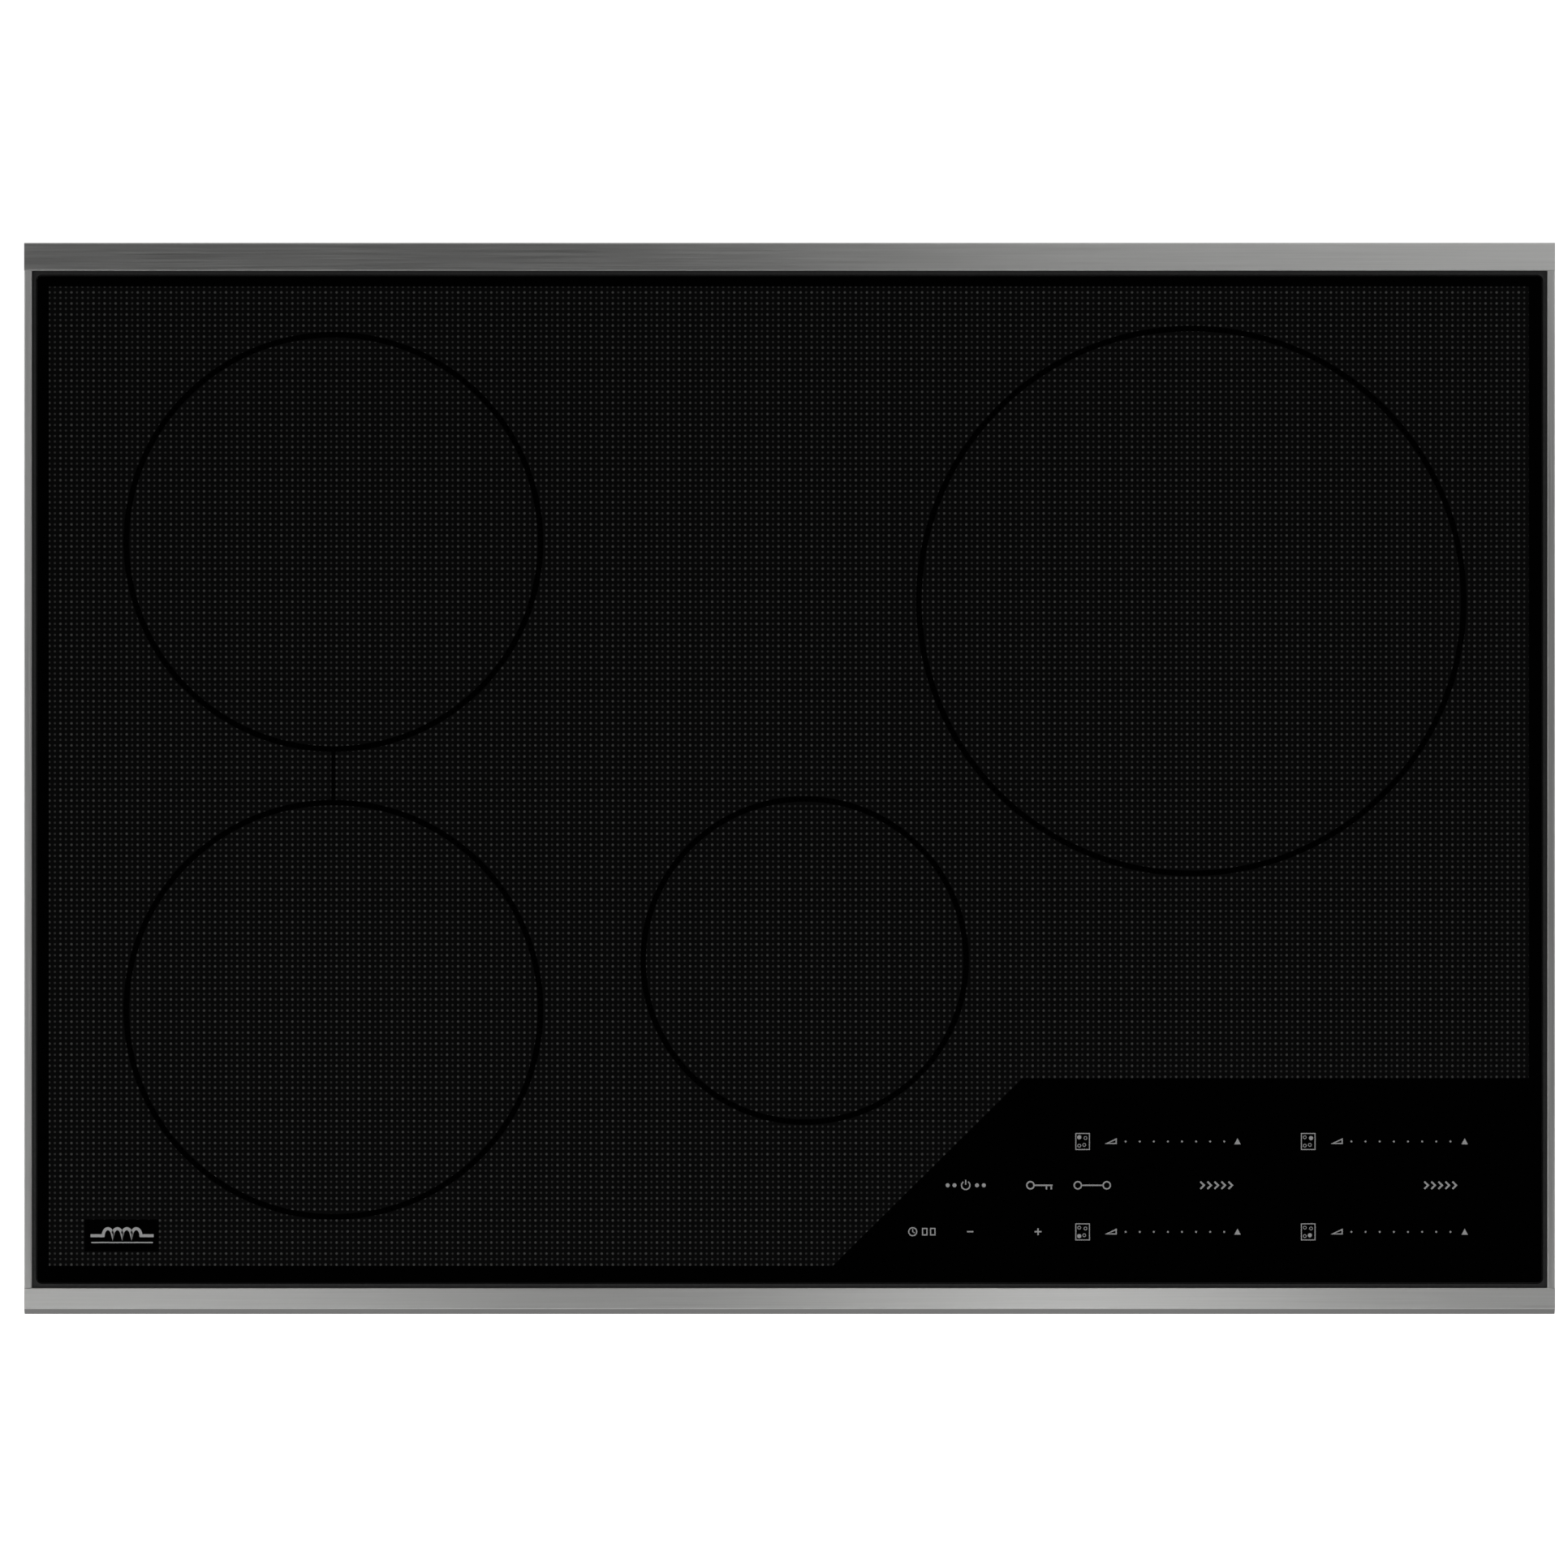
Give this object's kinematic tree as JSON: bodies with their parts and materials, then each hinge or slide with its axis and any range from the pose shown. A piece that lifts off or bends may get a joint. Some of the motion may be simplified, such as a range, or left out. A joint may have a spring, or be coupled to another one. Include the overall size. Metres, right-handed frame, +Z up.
{
  "type": "electric induction cooktop",
  "caption": "Built-in framed induction cooktop: black glass in a stainless trim, coils, boards and blowers in a steel box, and side hold-down clamps.",
  "frame": {"origin": "under the middle of the object, level with the beads that its steel box stands on", "axes": "+X to the user's right, along the front edge; +Y from the user to the back of the worktop; +Z up"},
  "size_m": [0.762, 0.5334, 0.1016],
  "materials": {
    "black_glass": "polished black glass-ceramic with a printed fine dot pattern",
    "black_silicone": "satin silicone",
    "brushed_stainless": "fine brushed, along each bar",
    "zinc_screw": "zinc plated",
    "black_foam": "closed-cell foam strip",
    "galvanised_steel": "hot-dip galvanised with a faint spangle",
    "white_plastic": "moulded",
    "tray_aluminium": "mill finish",
    "black_plastic": "moulded",
    "motor_steel": "pressed steel",
    "green_board": "solder resist",
    "capacitor_blue": "sleeve",
    "choke_copper": "enamelled copper",
    "spring_steel": "bright wire",
    "ribbon_grey": "flat cable",
    "sensor_ceramic": "unglazed",
    "carrier_plastic": "moulded glass-filled",
    "litz_copper": "enamelled litz",
    "ferrite": "sintered",
    "ceramic_felt": "ceramic fibre felt"
  },
  "bodies": {
    "cooktop": {"blower_housing_left": "black_plastic", "blower_housing_right": "black_plastic", "blower_lids": "black_plastic", "blower_motor_left": "motor_steel", "blower_motor_right": "motor_steel", "board_supports": "black_plastic", "burner_box": "galvanised_steel", "capacitors": "capacitor_blue", "centre_front_coil_springs": "spring_steel", "chokes": "choke_copper", "clamp_brackets": "galvanised_steel", "coil_tray": "tray_aluminium", "filter_board": "green_board", "glass_seal": "black_silicone", "glass_top": "black_glass", "heatsinks": "tray_aluminium", "left_front_coil_springs": "spring_steel", "left_rear_coil_springs": "spring_steel", "power_board_left": "green_board", "power_board_right": "green_board", "power_transistors": "black_plastic", "ribbon_cable": "ribbon_grey", "right_rear_coil_springs": "spring_steel", "supply_cover": "galvanised_steel", "temperature_sensors": "sensor_ceramic", "terminal_block": "white_plastic", "terminal_screws": "zinc_screw", "touch_board": "green_board", "touch_board_tray": "white_plastic", "touch_springs": "spring_steel", "tray_posts": "zinc_screw", "tray_screws": "zinc_screw", "trim_front": "brushed_stainless", "trim_left": "brushed_stainless", "trim_rear": "brushed_stainless", "trim_right": "brushed_stainless", "wall_screws": "zinc_screw", "worktop_gasket": "black_foam"},
    "left_rear_coil": {"left_rear_coil_carrier": "carrier_plastic", "left_rear_coil_winding": "litz_copper", "left_rear_coil_ferrites": "ferrite", "left_rear_coil_felt": "ceramic_felt"},
    "left_front_coil": {"left_front_coil_carrier": "carrier_plastic", "left_front_coil_winding": "litz_copper", "left_front_coil_ferrites": "ferrite", "left_front_coil_felt": "ceramic_felt"},
    "centre_front_coil": {"centre_front_coil_carrier": "carrier_plastic", "centre_front_coil_winding": "litz_copper", "centre_front_coil_ferrites": "ferrite", "centre_front_coil_felt": "ceramic_felt"},
    "right_rear_coil": {"right_rear_coil_carrier": "carrier_plastic", "right_rear_coil_winding": "litz_copper", "right_rear_coil_ferrites": "ferrite", "right_rear_coil_felt": "ceramic_felt"},
    "impeller_left": {"blower_impeller_left": "black_plastic"},
    "clamp_pad_left": {"clamp_pad_left": "black_plastic"},
    "clamp_screw_left": {"clamp_screw_left": "zinc_screw"},
    "impeller_right": {"blower_impeller_right": "black_plastic"},
    "clamp_pad_right": {"clamp_pad_right": "black_plastic"},
    "clamp_screw_right": {"clamp_screw_right": "zinc_screw"}
  },
  "joints": [
    {"name": "left_rear_coil_float", "type": "slide", "parent": "cooktop", "child": "left_rear_coil", "axis": [0, 0, 1], "range_m": [-0.003, 0], "stiffness_N_per_m": 3200, "springref_m": 0.008, "deforming": ["left_rear_coil_springs"]},
    {"name": "left_front_coil_float", "type": "slide", "parent": "cooktop", "child": "left_front_coil", "axis": [0, 0, 1], "range_m": [-0.003, 0], "stiffness_N_per_m": 3200, "springref_m": 0.008, "deforming": ["left_front_coil_springs"]},
    {"name": "centre_front_coil_float", "type": "slide", "parent": "cooktop", "child": "centre_front_coil", "axis": [0, 0, 1], "range_m": [-0.003, 0], "stiffness_N_per_m": 3200, "springref_m": 0.008, "deforming": ["centre_front_coil_springs"]},
    {"name": "right_rear_coil_float", "type": "slide", "parent": "cooktop", "child": "right_rear_coil", "axis": [0, 0, 1], "range_m": [-0.003, 0], "stiffness_N_per_m": 3200, "springref_m": 0.008, "deforming": ["right_rear_coil_springs"]},
    {"name": "blower_left_spin", "type": "hinge", "parent": "cooktop", "child": "impeller_left", "pos_m": [-0.245, -0.14, 0.02], "axis": [0, 0, 1], "continuous": true},
    {"name": "blower_right_spin", "type": "hinge", "parent": "cooktop", "child": "impeller_right", "pos_m": [0.24, -0.14, 0.02], "axis": [0, 0, 1], "continuous": true},
    {"name": "clamp_left_lift", "type": "slide", "parent": "cooktop", "child": "clamp_pad_left", "axis": [0, 0, 1], "range_m": [0, 0.021]},
    {"name": "clamp_left_turn", "type": "hinge", "parent": "clamp_pad_left", "child": "clamp_screw_left", "pos_m": [-0.3735, 0, 0.04], "axis": [0, 0, 1], "range_deg": [0, 7565]},
    {"name": "clamp_right_lift", "type": "slide", "parent": "cooktop", "child": "clamp_pad_right", "axis": [0, 0, 1], "range_m": [0, 0.021]},
    {"name": "clamp_right_turn", "type": "hinge", "parent": "clamp_pad_right", "child": "clamp_screw_right", "pos_m": [0.3735, 0, 0.04], "axis": [0, 0, 1], "range_deg": [0, 7565]}
  ],
  "couplings": [
    {"joint": "clamp_left_turn", "follows": "clamp_left_lift", "rad_per_m": 6283.2},
    {"joint": "clamp_right_turn", "follows": "clamp_right_lift", "rad_per_m": 6283.2}
  ]
}
